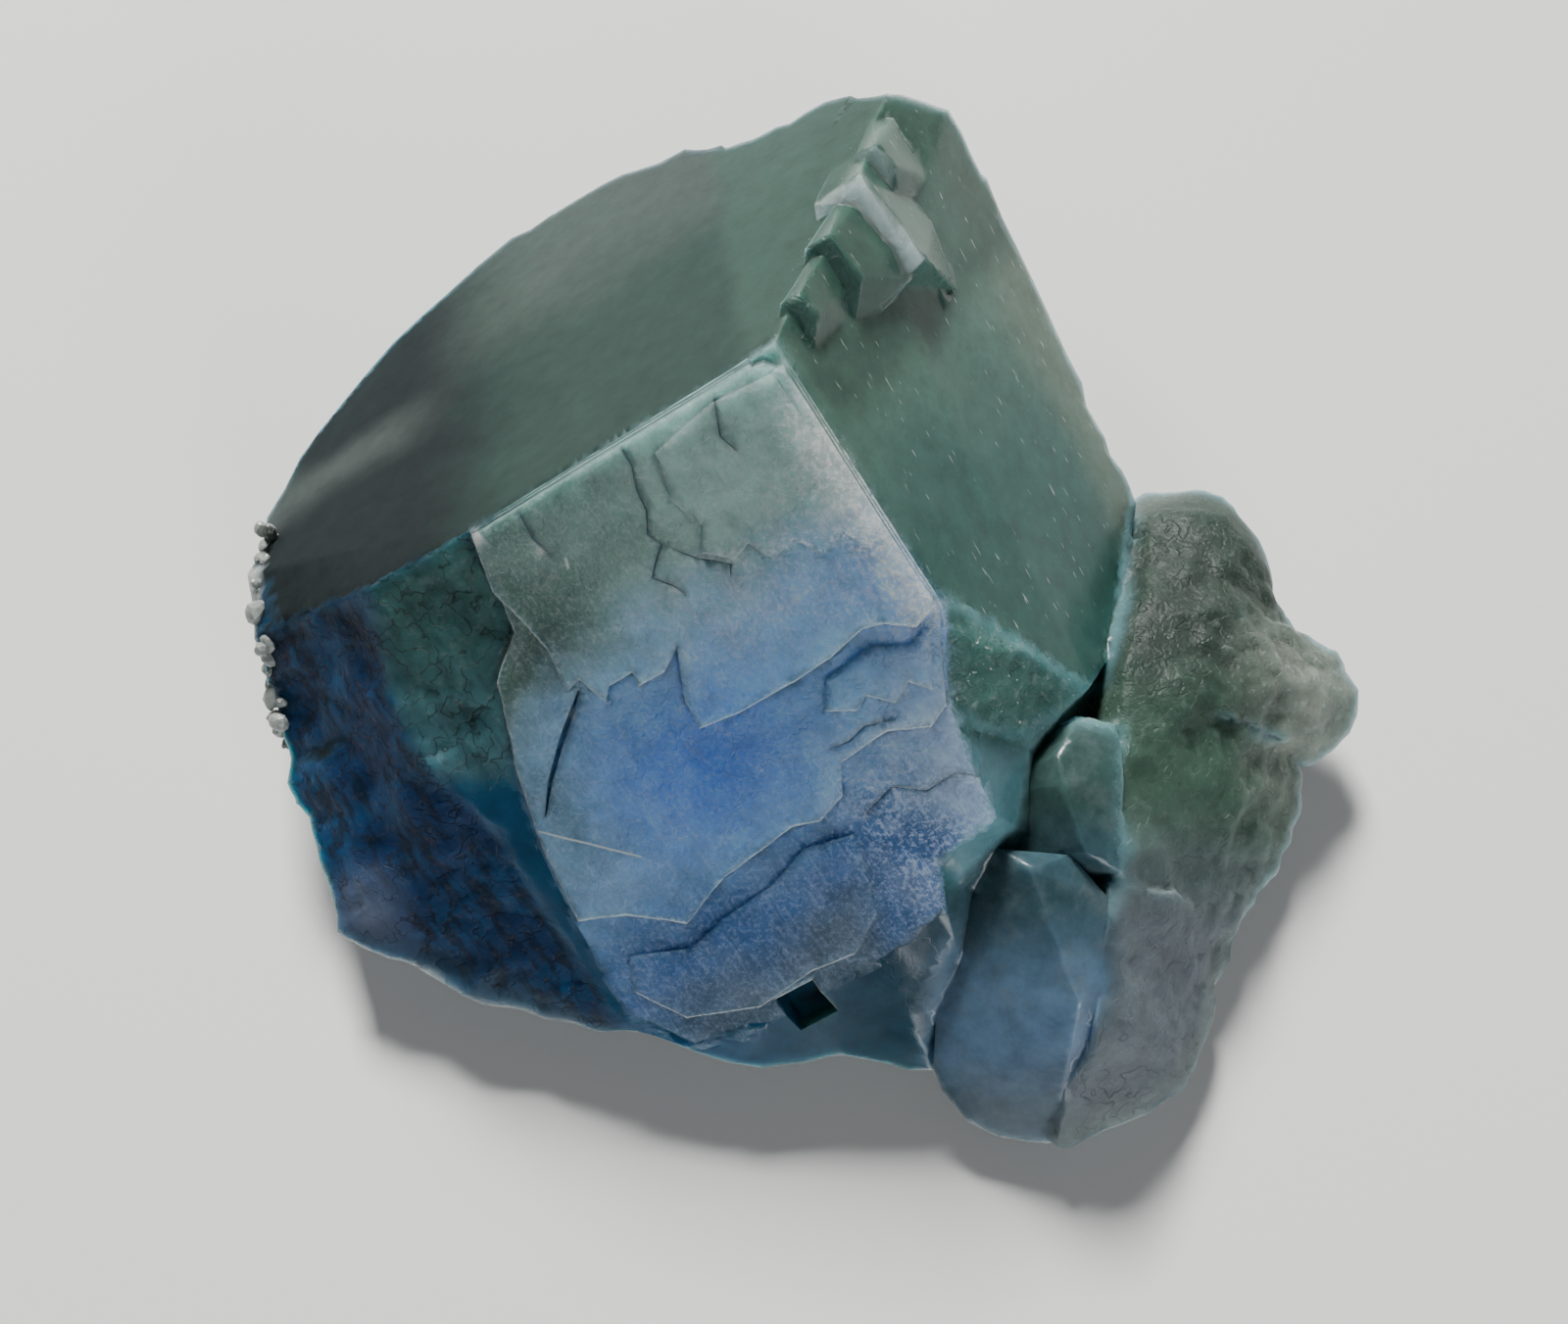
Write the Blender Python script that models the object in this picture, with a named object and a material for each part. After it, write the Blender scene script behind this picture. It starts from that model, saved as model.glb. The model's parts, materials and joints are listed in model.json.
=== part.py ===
"""Fluorite specimen: one big leaning cube corner with a rough broken flank,
a jagged plate on its frosted face, stepped ledges on its upright edge,
and a cluster of smaller crystals grown into its right side.
Units are metres, +Z is up, the base lies on Z = 0."""
import math

import bmesh
import bpy
from mathutils import Matrix, Vector, noise

MM = 0.001

# Lean of the big cube: direction its frosted face looks, and of its left edge
FACE_UP = Vector((-0.081, -0.591, 0.803))
EDGE_LEFT = Vector((-0.841, -0.393, -0.373))
CORNER = Vector((-0.3, 7.55, 18.0))
PLATE_RISE = 0.3
STEP_RISE = 0.18

# Frosted face outline, mm along the left edge and along the right edge
FACE = (
    (0.0, 0.0), (2.2, 0.0), (4.0, 0.0), (5.4, 0.0), (6.6, 0.0), (7.8, 0.0), (8.8, 0.0), (9.7, 0.0),
    (10.4, 0.0), (11.0, 0.0), (11.45, 0.0),
    (12.2, 3.5), (13.8, 4.5), (14.9, 7.2), (15.8, 10.1), (16.3, 13.0), (16.6, 15.4), (16.6, 16.9),
    (15.4, 18.6), (12.5, 19.5), (10.0, 19.3), (8.0, 19.3),
    (5.3, 18.7), (4.7, 17.2), (2.3, 16.8), (1.7, 13.4), (0.0, 9.8),
    (0.0, 8.0), (0.0, 6.2), (0.0, 4.4), (0.0, 2.6), (0.0, 1.2),
)

# Widest outline of the big crystal, mm, in the same order
GIRDLE = (
    (3.5, 19.4, 12.2), (1.7, 20.4, 10.1), (-0.3, 20.2, 8.6), (-2.1, 20.1, 7.3), (-3.6, 20.9, 5.5),
    (-7.1, 21.1, 2.6), (-10.7, 19.8, 0.8), (-15.1, 15.5, 0.5), (-18.3, 10.1, 1.9), (-18.7, 4.4, 5.7),
    (-18.1, 2.1, 6.2),
    (-17.9, 0.5, 5.0), (-17.1, -1.6, 4.0), (-16.6, -4.6, 3.4), (-15.7, -7.8, 3.0), (-13.8, -8.7, 2.6),
    (-11.8, -9.4, 2.5), (-8.8, -10.5, 2.5), (-5.4, -11.0, 2.4), (-0.7, -12.2, 2.2), (2.0, -11.8, 2.2),
    (5.1, -12.3, 2.0),
    (6.8, -10.2, 2.0), (8.2, -7.8, 2.0), (9.7, -5.1, 2.0), (10.4, -2.3, 2.5), (11.9, 2.4, 4.6),
    (12.9, 8.0, 3.3), (10.9, 11.0, 5.0), (9.4, 14.05, 6.5), (7.15, 18.2, 8.6), (5.7, 19.8, 10.5),
)

# Points between the face and the widest outline where a flank changes its slope, by place in the outline
SHOULDER = {
    0: (1.4, 13.0, 15.2),
    10: (-13.4, 2.1, 11.3), 11: (-13.0, 0.3, 10.2), 12: (-12.6, -1.6, 9.2), 13: (-11.6, -3.2, 8.2),
    14: (-9.9, -4.7, 7.2), 15: (-8.4, -6.9, 5.6), 16: (-6.8, -9.3, 4.1), 17: (-5.9, -10.5, 3.4),
    18: (-3.7, -11.6, 3.0),
    22: (5.65, -8.5, 5.9), 23: (5.9, -6.8, 6.9), 24: (8.1, -5.0, 7.0), 25: (8.0, -2.5, 8.3),
    26: (10.25, -0.1, 7.6), 27: (7.0, 5.15, 10.5), 28: (6.05, 6.7, 11.35), 29: (5.15, 8.5, 12.1),
    30: (4.3, 10.05, 12.85), 31: (3.5, 11.6, 13.55),
}

# The flat cleavage base, set in under the widest outline
UNDERCUT = 1.6
UNDERCUT_SLOPE = 0.55
BASE_MIDDLE = Vector((-1.5, 4.5, 0.0))

# Broken surfaces: places in the outline, how finely they are split, how far and how widely they wave
ROUGH_FLANK = (10, 11, 12, 13, 14, 15, 16, 17, 18)
SMOOTH_STRIP = (14, 15, 16)
ROUGH_PATCH = (25,)
CUTS = 3
ROUGH_HEIGHT = 0.34
ROUGH_SIZE = 2.6
UNDER_HEIGHT = 0.4
FADE_ABOVE_BASE = 1.2

# Jagged upper plate and the lower step on the frosted face, mm along the two edges
PLATE = (
    (0.12, 0.12), (11.3, 0.12), (11.8, 2.0), (11.6, 3.0), (11.4, 4.5), (11.7, 6.0), (11.1, 5.8),
    (10.8, 6.9), (10.4, 6.5), (9.5, 6.5), (9.6, 7.0), (8.6, 7.0), (7.8, 6.5), (8.6, 8.2), (8.7, 9.2),
    (7.3, 9.4), (5.2, 9.4), (3.8, 9.3), (2.5, 9.0), (1.8, 9.2), (1.0, 9.8), (0.12, 9.5),
)
STEP = (
    (0.06, 0.06), (11.35, 0.06), (12.1, 3.5), (13.6, 4.6), (14.7, 7.2), (15.6, 10.1),
    (16.1, 13.0), (14.6, 13.6), (13.0, 14.9), (11.0, 14.1), (9.4, 13.9), (8.1, 13.7), (7.2, 14.0),
    (6.1, 13.6), (5.5, 12.6), (3.7, 12.4), (2.4, 13.0), (1.6, 12.6), (0.9, 11.2), (0.06, 9.6),
)
PLATE_DEPTH = 1.1

# Growth steps down the upright edge, each spanned over its points: mm along the two edges and below the face
STEPS_DOWN = (
    ((-1.18, -0.7, 1.75), (-0.5, -0.72, 1.75), (-1.3, 0.15, 1.75), (0.4, 0.5, 1.75), (-0.6, 1.1, 1.75),
     (-1.85, -1.22, 4.3), (-2.25, -1.1, 4.3), (-2.2, 0.3, 4.3), (-1.8, 1.4, 4.3), (1.0, 1.0, 2.5),
     (1.0, 1.0, 4.3)),
    ((-2.6, -1.5, 4.0), (-1.7, -1.5, 4.0), (-2.75, 0.2, 4.0), (-1.4, 1.8, 4.0), (0.0, 0.8, 4.0),
     (-3.16, -2.0, 6.5), (-3.6, -1.62, 6.5), (-3.95, 0.25, 6.5), (-3.75, 1.4, 6.5), (0.5, 1.5, 6.7)),
    ((-4.1, -2.3, 6.15), (-2.4, -2.3, 6.15), (-4.0, -0.75, 6.15), (-4.15, 0.2, 6.15), (-4.5, 1.0, 6.15),
     (-3.2, -2.75, 9.5), (-4.5, -2.75, 9.5), (-4.95, 0.6, 9.5), (-4.5, 3.0, 9.5), (0.0, 2.0, 7.0),
     (0.0, 2.0, 9.5)),
    ((-4.85, -2.74, 7.95), (-4.1, -2.72, 7.95), (-4.95, -1.9, 7.95), (-3.0, 1.6, 7.95),
     (-4.9, -3.3, 11.0), (-5.5, -2.9, 11.0), (-5.5, -0.5, 11.0), (-1.0, 1.0, 8.5), (-1.0, 1.0, 11.0)),
)

# Shallow chip that takes the tip off the face corner, outline in mm along the two edges, and its drop
CHIP = ((1.3, -1.2), (0.95, 0.25), (0.6, 0.3), (0.35, 0.65), (-1.2, 1.0), (-1.2, -1.2))
CHIP_DROP = 0.5

# Square pit under the front edge of the face
PIT_AT = (0.75, -10.4, 4.2)
PIT_SIZE = (1.5, 1.6, 2.2)

# Smaller crystals: corner points in mm, the last ones of each lie on the base or inside the big crystal
LOWER_CRYSTAL = (
    (7.0, -5.6, 7.4), (8.0, -6.4, 8.0), (9.4, -5.8, 7.2), (10.8, -7.2, 6.5), (10.9, -9.7, 5.5),
    (9.7, -10.5, 6.1),
    (5.7, -6.5, 5.9), (5.3, -7.7, 5.0), (5.2, -9.3, 4.0), (5.1, -12.3, 2.5), (5.4, -13.0, 2.1),
    (6.3, -14.0, 1.6), (7.4, -14.5, 1.3), (8.6, -14.6, 1.3), (9.2, -14.8, 1.6), (10.4, -11.2, 5.0),
    (6.0, -5.2, 3.0), (10.4, -5.4, 3.0), (6.4, -7.6, 0.0), (7.0, -12.4, 0.0), (9.2, -12.8, 0.0),
    (10.6, -8.0, 0.0),
)
UPPER_CRYSTAL = (
    (8.4, -1.9, 6.9), (9.8, -1.0, 7.5), (11.1, -1.3, 7.5), (11.3, -2.9, 7.7), (9.1, -3.7, 8.3),
    (9.0, -2.6, 8.2),
    (9.9, -5.8, 7.6), (7.9, -4.9, 6.5), (11.2, -6.4, 6.9), (11.4, -1.6, 2.0), (11.6, -6.8, 2.0),
    (7.0, -5.0, 2.0), (6.4, -3.6, 6.4), (6.8, -5.6, 5.8),
)
HEAD_LUMP = (
    (12.6, 8.2, 1.4), (13.6, 9.0, 1.7), (15.5, 9.0, 2.0), (16.6, 8.5, 2.0), (17.5, 7.1, 2.0),
    (18.2, 4.9, 2.2),
    (18.6, 3.0, 2.5), (13.4, 7.4, 3.7), (15.9, 7.2, 3.7), (12.9, 4.2, 5.5), (16.0, 4.1, 5.3),
    (11.5, 0.6, 7.3),
    (13.8, -0.6, 7.3), (16.8, 1.0, 5.7), (11.4, -3.2, 7.3), (17.0, -2.4, 3.0), (10.0, -2.6, 5.4),
    (9.4, 5.2, 1.2), (9.8, 6.6, 1.4), (9.2, 1.6, 3.0),
    (13.2, 6.8, 0.0), (15.6, 6.8, 0.0), (16.6, 4.4, 0.0), (16.2, -1.2, 0.0), (10.4, -1.8, 0.0),
)
KNOB_LUMP = (
    (18.2, 3.4, 2.5), (20.0, 2.4, 2.7), (20.5, 0.8, 2.8), (20.4, -0.5, 2.7), (19.8, -1.2, 2.5),
    (18.7, -1.7, 2.3),
    (18.6, 0.6, 4.6), (17.0, 1.2, 5.8), (17.4, -1.4, 4.6), (14.6, -0.6, 6.7), (16.2, 3.2, 5.5),
    (17.0, 2.2, 1.2), (17.2, -1.0, 1.2), (14.0, 0.8, 1.2),
)
MIDDLE_LUMP = (
    (18.5, -2.0, 2.3), (18.1, -4.0, 1.9), (16.9, -5.1, 1.8), (15.9, -6.7, 1.6), (15.1, -9.2, 1.6),
    (11.8, -1.6, 7.4), (16.6, -0.6, 5.3), (11.0, -5.6, 7.4), (15.2, -4.4, 5.0), (10.8, -8.6, 5.2),
    (13.4, -8.8, 3.4),
    (16.6, -2.0, 0.0), (15.2, -5.2, 0.0), (13.8, -9.4, 0.0), (9.6, -8.6, 0.0), (9.6, -2.4, 0.0),
    (9.2, -4.4, 4.0),
    (17.0, 0.4, 3.0), (11.0, 0.0, 4.0),
)
FOOT_LUMP = (
    (15.2, -8.0, 1.6), (14.9, -10.7, 1.6), (14.3, -11.9, 1.5), (14.0, -13.0, 1.5), (12.7, -13.8, 1.5),
    (10.9, -14.3, 1.5), (9.4, -15.2, 1.5), (10.8, -6.6, 6.8), (13.2, -6.6, 5.6), (11.6, -11.2, 5.0),
    (10.2, -11.2, 5.4),
    (13.2, -11.6, 3.3), (9.1, -14.9, 2.0),
    (14.0, -7.2, 0.0), (13.4, -11.8, 0.0), (12.0, -12.8, 0.0), (8.6, -13.2, 0.0), (9.0, -7.8, 0.0),
)
LUMP_EDGE = 1.5
LUMP_SIZE = 2.4
MERGE = 0.000005


def clear_objects():
    """Start from an empty file."""
    for old in list(bpy.data.objects):
        bpy.data.objects.remove(old, do_unlink=True)


def cube_axes():
    """Left edge, right edge and face direction of the big cube."""
    up = FACE_UP.normalized()
    right = up.cross(EDGE_LEFT).normalized()
    left = right.cross(up).normalized()
    return left, right, up


def on_face(left_mm, right_mm, rise_mm):
    """Point given along the cube's own edges, rise measured from its corner."""
    left, right, up = cube_axes()
    return CORNER + left * left_mm + right * right_mm + up * rise_mm


def object_from(bm, name):
    """Wrap a bmesh in an object."""
    bmesh.ops.remove_doubles(bm, verts=bm.verts, dist=MERGE)
    bmesh.ops.recalc_face_normals(bm, faces=bm.faces)
    mesh = bpy.data.meshes.new(name)
    bm.to_mesh(mesh)
    bm.free()
    obj = bpy.data.objects.new(name, mesh)
    bpy.context.scene.collection.objects.link(obj)
    return obj


def shoulder_point(place, top, girdle):
    """Where the flank bends between the face and the widest outline."""
    if place in SHOULDER:
        return Vector(SHOULDER[place]) * MM
    return top.lerp(girdle, 0.5)


def base_point(girdle):
    """The widest outline pulled in under the crystal and set on the ground."""
    flat = Vector((girdle[0], girdle[1], 0.0))
    inward = (BASE_MIDDLE - flat).normalized()
    pull = UNDERCUT + UNDERCUT_SLOPE * girdle[2]
    return (flat + inward * pull) * MM


def ripple(spot):
    """Smooth unevenness, the same each time, as a small push in three directions."""
    return Vector([noise.noise(spot + Vector((shift, 2.0 * shift, shift))) for shift in (0.3, 17.9, 41.5)])


def crumple(point, height, size):
    """Uneven push for broken surfaces, made of a wide and a fine ripple."""
    spot = point / MM / size
    fade = min(1.0, point.z / MM / FADE_ABOVE_BASE)
    return (ripple(spot) * 1.4 + ripple(spot * 2.7) * 0.6) * height * fade * MM


def roughen(bm, height_of):
    """Push each corner by its faces' own roughness, and keep corners of flat faces in their plane."""
    bm.normal_update()
    pushes = []
    for vert in bm.verts:
        flat = [face.normal for face in vert.link_faces if height_of[face] == 0.0]
        if flat and max(normal.angle(flat[0]) for normal in flat) > math.radians(1.0):
            continue
        height = max(height_of[face] for face in vert.link_faces)
        push = crumple(vert.co, height, ROUGH_SIZE)
        if flat:
            push -= flat[0] * push.dot(flat[0])
        pushes.append((vert, push))
    for vert, push in pushes:
        vert.co += push


def prism(low, high, name):
    """Solid between two matched outlines."""
    bm = bmesh.new()
    under = [bm.verts.new(point * MM) for point in low]
    over = [bm.verts.new(point * MM) for point in high]
    for place in range(len(low)):
        after = (place + 1) % len(low)
        bm.faces.new((under[place], under[after], over[after], over[place]))
    bm.faces.new(over)
    bm.faces.new(list(reversed(under)))
    return object_from(bm, name)


def flank_height(place, level):
    """How rough the flank is at a place: level 0 is next to the face, level 2 is underneath."""
    if level == 2:
        return UNDER_HEIGHT
    if place in SMOOTH_STRIP and level == 0:
        return 0.0
    if place in ROUGH_FLANK:
        return ROUGH_HEIGHT
    if place in ROUGH_PATCH and level == 0:
        return ROUGH_HEIGHT
    return 0.0


def flank_points(place, girdle):
    """One upright line of the big crystal from the face down to the base."""
    top = on_face(FACE[place][0], FACE[place][1], -PLATE_RISE - STEP_RISE) * MM
    rim = Vector(girdle) * MM
    bend = shoulder_point(place, top, rim)
    base = base_point(girdle)
    line = []
    for start, end in ((top, bend), (bend, rim), (rim, base)):
        for step in range(CUTS + 1):
            line.append(start.lerp(end, step / (CUTS + 1)))
    line.append(base)
    return line


def big_crystal():
    """The leaning cube: face, flanks, widest outline, undercut and flat base."""
    lines = [flank_points(place, girdle) for place, girdle in enumerate(GIRDLE)]
    bm = bmesh.new()
    columns = []
    for place, line in enumerate(lines):
        beside = lines[(place + 1) % len(lines)]
        for step in range(CUTS + 1):
            share = step / (CUTS + 1)
            columns.append([bm.verts.new(point.lerp(near, share)) for point, near in zip(line, beside)])
    height_of = {}
    for number, column in enumerate(columns):
        after = columns[(number + 1) % len(columns)]
        place = number // (CUTS + 1)
        for row in range(len(column) - 1):
            face = bm.faces.new((column[row], after[row], after[row + 1], column[row + 1]))
            height_of[face] = flank_height(place, row // (CUTS + 1))
    height_of[bm.faces.new([column[0] for column in columns])] = 0.0
    height_of[bm.faces.new([column[-1] for column in reversed(columns)])] = 0.0
    roughen(bm, height_of)
    return object_from(bm, "fluorite_crystal")


def face_layer(name, outline, top_mm, thick_mm):
    """A layer parallel to the frosted face."""
    high = [on_face(a, b, top_mm) for a, b in outline]
    low = [on_face(a, b, top_mm - thick_mm) for a, b in outline]
    return prism(low, high, name)


def split_long_edges(bm):
    """Even out the triangles of a lump so that its surface can be uneven."""
    for _ in range(6):
        long_ones = [edge for edge in bm.edges if edge.calc_length() > LUMP_EDGE * MM]
        if not long_ones:
            break
        bmesh.ops.subdivide_edges(bm, edges=long_ones, cuts=1)
        bmesh.ops.triangulate(bm, faces=bm.faces)


def side_crystal(name, points, rough_mm):
    """A smaller crystal or broken lump spanned over its corner points."""
    bm = bmesh.new()
    for point in points:
        bm.verts.new(Vector(point) * MM)
    hull = bmesh.ops.convex_hull(bm, input=bm.verts)
    spare = [item for item in hull["geom_interior"] if isinstance(item, bmesh.types.BMVert)]
    bmesh.ops.delete(bm, geom=spare, context="VERTS")
    if rough_mm > 0.0:
        split_long_edges(bm)
        for vert in bm.verts:
            vert.co += crumple(vert.co, rough_mm, LUMP_SIZE)
    return object_from(bm, name)


def as_cutter(obj):
    """Mark a cutting block."""
    obj.hide_render = True
    obj.display_type = "WIRE"
    return obj


def pit_cutter():
    """A block set square to the cube, for the pit under the face."""
    left, right, up = cube_axes()
    turn = Matrix((left, right, up)).transposed().to_4x4()
    bm = bmesh.new()
    bmesh.ops.create_cube(bm, size=MM)
    bmesh.ops.scale(bm, vec=Vector(PIT_SIZE), verts=bm.verts)
    bmesh.ops.transform(bm, matrix=turn, verts=bm.verts)
    bmesh.ops.translate(bm, vec=Vector(PIT_AT) * MM, verts=bm.verts)
    return as_cutter(object_from(bm, "pit_cutter"))


def combine(body, other, operation):
    """Join or cut with an exact Boolean and drop the helper."""
    tool = body.modifiers.new(other.name, "BOOLEAN")
    tool.operation = operation
    tool.solver = "EXACT"
    tool.object = other
    graph = bpy.context.evaluated_depsgraph_get()
    graph.update()
    solid = bpy.data.meshes.new_from_object(body.evaluated_get(graph))
    body.modifiers.clear()
    body.data = solid
    bpy.data.objects.remove(other, do_unlink=True)


def settle_on_origin(obj):
    """Triangles only, and the bottom middle of the crystal at the origin."""
    bm = bmesh.new()
    bm.from_mesh(obj.data)
    bmesh.ops.remove_doubles(bm, verts=bm.verts, dist=MERGE)
    bmesh.ops.dissolve_degenerate(bm, edges=bm.edges, dist=MERGE)
    bmesh.ops.triangulate(bm, faces=bm.faces)
    low = Vector([min(vert.co[axis] for vert in bm.verts) for axis in range(3)])
    high = Vector([max(vert.co[axis] for vert in bm.verts) for axis in range(3)])
    shift = Vector((-(low.x + high.x) / 2.0, -(low.y + high.y) / 2.0, -low.z))
    bmesh.ops.translate(bm, vec=shift, verts=bm.verts)
    bmesh.ops.recalc_face_normals(bm, faces=bm.faces)
    bm.to_mesh(obj.data)
    bm.free()
    print("shift mm", [round(value / MM, 4) for value in shift])
    print("size mm", [round((high[axis] - low[axis]) / MM, 3) for axis in range(3)])
    print("triangles", len(obj.data.polygons))


def crystal_material():
    """Cloudy blue-green fluorite."""
    material = bpy.data.materials.new("fluorite")
    material.use_nodes = True
    shader = material.node_tree.nodes["Principled BSDF"]
    shader.inputs["Base Color"].default_value = (0.16, 0.31, 0.36, 1.0)
    shader.inputs["Roughness"].default_value = 0.35
    shader.inputs["IOR"].default_value = 1.434
    shader.inputs["Transmission Weight"].default_value = 0.5
    return material


def build():
    """Grow the whole specimen as one solid."""
    clear_objects()
    body = big_crystal()
    combine(body, face_layer("step", STEP, -PLATE_RISE, PLATE_DEPTH), "UNION")
    combine(body, face_layer("plate", PLATE, 0.0, PLATE_DEPTH), "UNION")
    for number, points in enumerate(STEPS_DOWN):
        spots = [on_face(left_mm, right_mm, -drop_mm) for left_mm, right_mm, drop_mm in points]
        combine(body, side_crystal(f"step_down_{number}", spots, 0.0), "UNION")
    combine(body, as_cutter(face_layer("chip", CHIP, 1.0, 1.0 + CHIP_DROP)), "DIFFERENCE")
    combine(body, pit_cutter(), "DIFFERENCE")
    combine(body, side_crystal("lower_crystal", LOWER_CRYSTAL, 0.0), "UNION")
    combine(body, side_crystal("upper_crystal", UPPER_CRYSTAL, 0.0), "UNION")
    combine(body, side_crystal("head_lump", HEAD_LUMP, 0.25), "UNION")
    combine(body, side_crystal("knob_lump", KNOB_LUMP, 0.3), "UNION")
    combine(body, side_crystal("middle_lump", MIDDLE_LUMP, 0.3), "UNION")
    combine(body, side_crystal("foot_lump", FOOT_LUMP, 0.25), "UNION")
    settle_on_origin(body)
    body.data.materials.clear()
    body.data.materials.append(crystal_material())


build()
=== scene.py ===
# %% [markdown]
# # A fluorite cube with its frosted face
# This lesson dresses a piece of cloudy blue and green fluorite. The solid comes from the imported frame,
# and here it gets its thin growth layers, cracks, broken relief and its see-through stone.

# %% Load the frame
import json
import math

import bpy
import numpy as np
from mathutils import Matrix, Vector

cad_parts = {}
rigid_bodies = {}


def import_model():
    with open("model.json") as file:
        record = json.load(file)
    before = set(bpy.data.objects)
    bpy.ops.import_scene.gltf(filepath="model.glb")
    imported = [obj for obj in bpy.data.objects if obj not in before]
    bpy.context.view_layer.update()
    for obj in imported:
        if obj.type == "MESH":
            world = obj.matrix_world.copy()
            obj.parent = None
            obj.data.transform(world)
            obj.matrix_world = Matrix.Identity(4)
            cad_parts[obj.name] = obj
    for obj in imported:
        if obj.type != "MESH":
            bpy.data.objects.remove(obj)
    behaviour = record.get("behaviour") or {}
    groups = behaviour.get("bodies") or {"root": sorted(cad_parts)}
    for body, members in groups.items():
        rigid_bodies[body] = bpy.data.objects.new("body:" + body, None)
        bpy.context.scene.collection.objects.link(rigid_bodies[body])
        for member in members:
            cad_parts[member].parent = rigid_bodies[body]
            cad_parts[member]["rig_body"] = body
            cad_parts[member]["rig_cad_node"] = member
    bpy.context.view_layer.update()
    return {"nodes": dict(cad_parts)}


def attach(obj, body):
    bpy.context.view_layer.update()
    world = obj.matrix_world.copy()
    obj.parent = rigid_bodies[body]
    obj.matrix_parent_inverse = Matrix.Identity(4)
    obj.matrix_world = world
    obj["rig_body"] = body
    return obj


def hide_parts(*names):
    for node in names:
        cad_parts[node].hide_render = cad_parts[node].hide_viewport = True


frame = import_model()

MM = 0.001

# %% [markdown]
# ## Where the crystal leans
# A fluorite cube grows square, but this one was broken off its bed and lies on the break, so its
# own edges lean. All layers, cracks and colour zones follow the cube and not the ground.
# We keep its three edge directions once and give every place along them in millimetres.

# %% The cube's own directions
CORNER = Vector((-1.2717, 4.485, 18.0))
FACE_UP = Vector((-0.081, -0.591, 0.803)).normalized()
EDGE_RIGHT = FACE_UP.cross(Vector((-0.841, -0.393, -0.373))).normalized()
EDGE_LEFT = EDGE_RIGHT.cross(FACE_UP).normalized()


def on_face(left_mm, right_mm, rise_mm=0.0):
    """A point given along the cube's left and right edges, and how far it stands over the face."""
    return (CORNER + EDGE_LEFT * left_mm + EDGE_RIGHT * right_mm + FACE_UP * rise_mm) * MM


print("frosted face looks along", [round(part, 3) for part in FACE_UP])

# %% [markdown]
# ## Camera
# The view is a hand-held one from close above, about 75 degrees over the floor. The camera is only
# seven centimetres away, which gives the strong perspective of a close view. It is aimed at a
# point in the crystal, because that is easier to get right than three angles.

# %% Camera
camera_data = bpy.data.cameras.new("camera")
camera_data.lens = 50.0
camera_data.sensor_width = 36.0
camera_data.clip_start = 0.001
camera = bpy.data.objects.new("camera", camera_data)
bpy.context.scene.collection.objects.link(camera)
camera.location = Vector((-0.972, -22.505, 77.81)) * MM
look = Vector((-0.972, -3.065, 10.0)) * MM - camera.location
camera.rotation_mode = "QUATERNION"
camera.rotation_quaternion = look.to_track_quat("-Z", "Y")
bpy.context.scene.camera = camera
print("camera looks down at", round(math.degrees(math.asin(-look.normalized().z)), 1), "degrees")

# %% [markdown]
# ## Floor
# The floor is plain and pale. It catches the shadow, and light from it fills the stone from below,
# which a see-through piece needs as much as the light from above.

# %% Floor
bpy.ops.mesh.primitive_grid_add(x_subdivisions=8, y_subdivisions=8, size=1.6, location=(0.0, 0.0, 0.0))
floor = bpy.context.object
floor.name = "floor"
floor_paint = bpy.data.materials.new("pale_floor")
floor_paint.use_nodes = True
floor_shader = floor_paint.node_tree.nodes["Principled BSDF"]
floor_shader.inputs["Base Color"].default_value = (0.72, 0.72, 0.71, 1.0)
floor_shader.inputs["Roughness"].default_value = 0.55
floor.data.materials.append(floor_paint)

# %% [markdown]
# ## Light
# A large soft light stands beyond the crystal, as a window would, and a dim one on the near side keeps
# the frosted face from going dark. Area lights are used because their soft shadows suit a stone
# with broken faces, and a weak grey world stands for the rest of the room.

# %% Lights
def soft_light(name, place, aim, size, power, tint):
    """A square soft box, turned to look at a point."""
    data = bpy.data.lights.new(name, "AREA")
    data.shape = "SQUARE"
    data.size = size
    data.energy = power
    data.color = tint
    lamp = bpy.data.objects.new(name, data)
    lamp.location = place
    lamp.rotation_mode = "QUATERNION"
    lamp.rotation_quaternion = (Vector(aim) - Vector(place)).to_track_quat("-Z", "Y")
    bpy.context.scene.collection.objects.link(lamp)
    return lamp


soft_light("window_box", (-0.20, 1.05, 0.83), (0.0, 0.0, 0.005), 0.30, 50.0, (1.0, 0.99, 0.97))
soft_light("near_fill", (0.45, -1.02, 0.30), (0.0, 0.0, 0.01), 0.45, 9.5, (0.95, 0.97, 1.0))
world = bpy.data.worlds.new("studio")
bpy.context.scene.world = world
world.use_nodes = True
world.node_tree.nodes["Background"].inputs["Color"].default_value = (0.80, 0.82, 0.85, 1.0)
world.node_tree.nodes["Background"].inputs["Strength"].default_value = 0.10

# %% [markdown]
# ## Operators by hand
# Operators act on whatever is selected. These helpers select one piece, or run operators in edit
# mode on all of it, so that each later cell reads like a click in the window.

# %% Selection helpers
def pick(piece):
    """Make one piece the only selected and active one."""
    bpy.ops.object.select_all(action="DESELECT")
    piece.select_set(True)
    bpy.context.view_layer.objects.active = piece


def edit_all(piece):
    """Open a piece in edit mode with everything selected."""
    pick(piece)
    bpy.ops.object.mode_set(mode="EDIT")
    bpy.ops.mesh.select_mode(type="VERT")
    bpy.ops.mesh.select_all(action="SELECT")


def leave_edit():
    bpy.ops.object.mode_set(mode="OBJECT")


def apply_modifier(piece, modifier):
    """Bake one modifier into a piece's mesh."""
    pick(piece)
    bpy.ops.object.modifier_apply(modifier=modifier.name)


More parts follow.
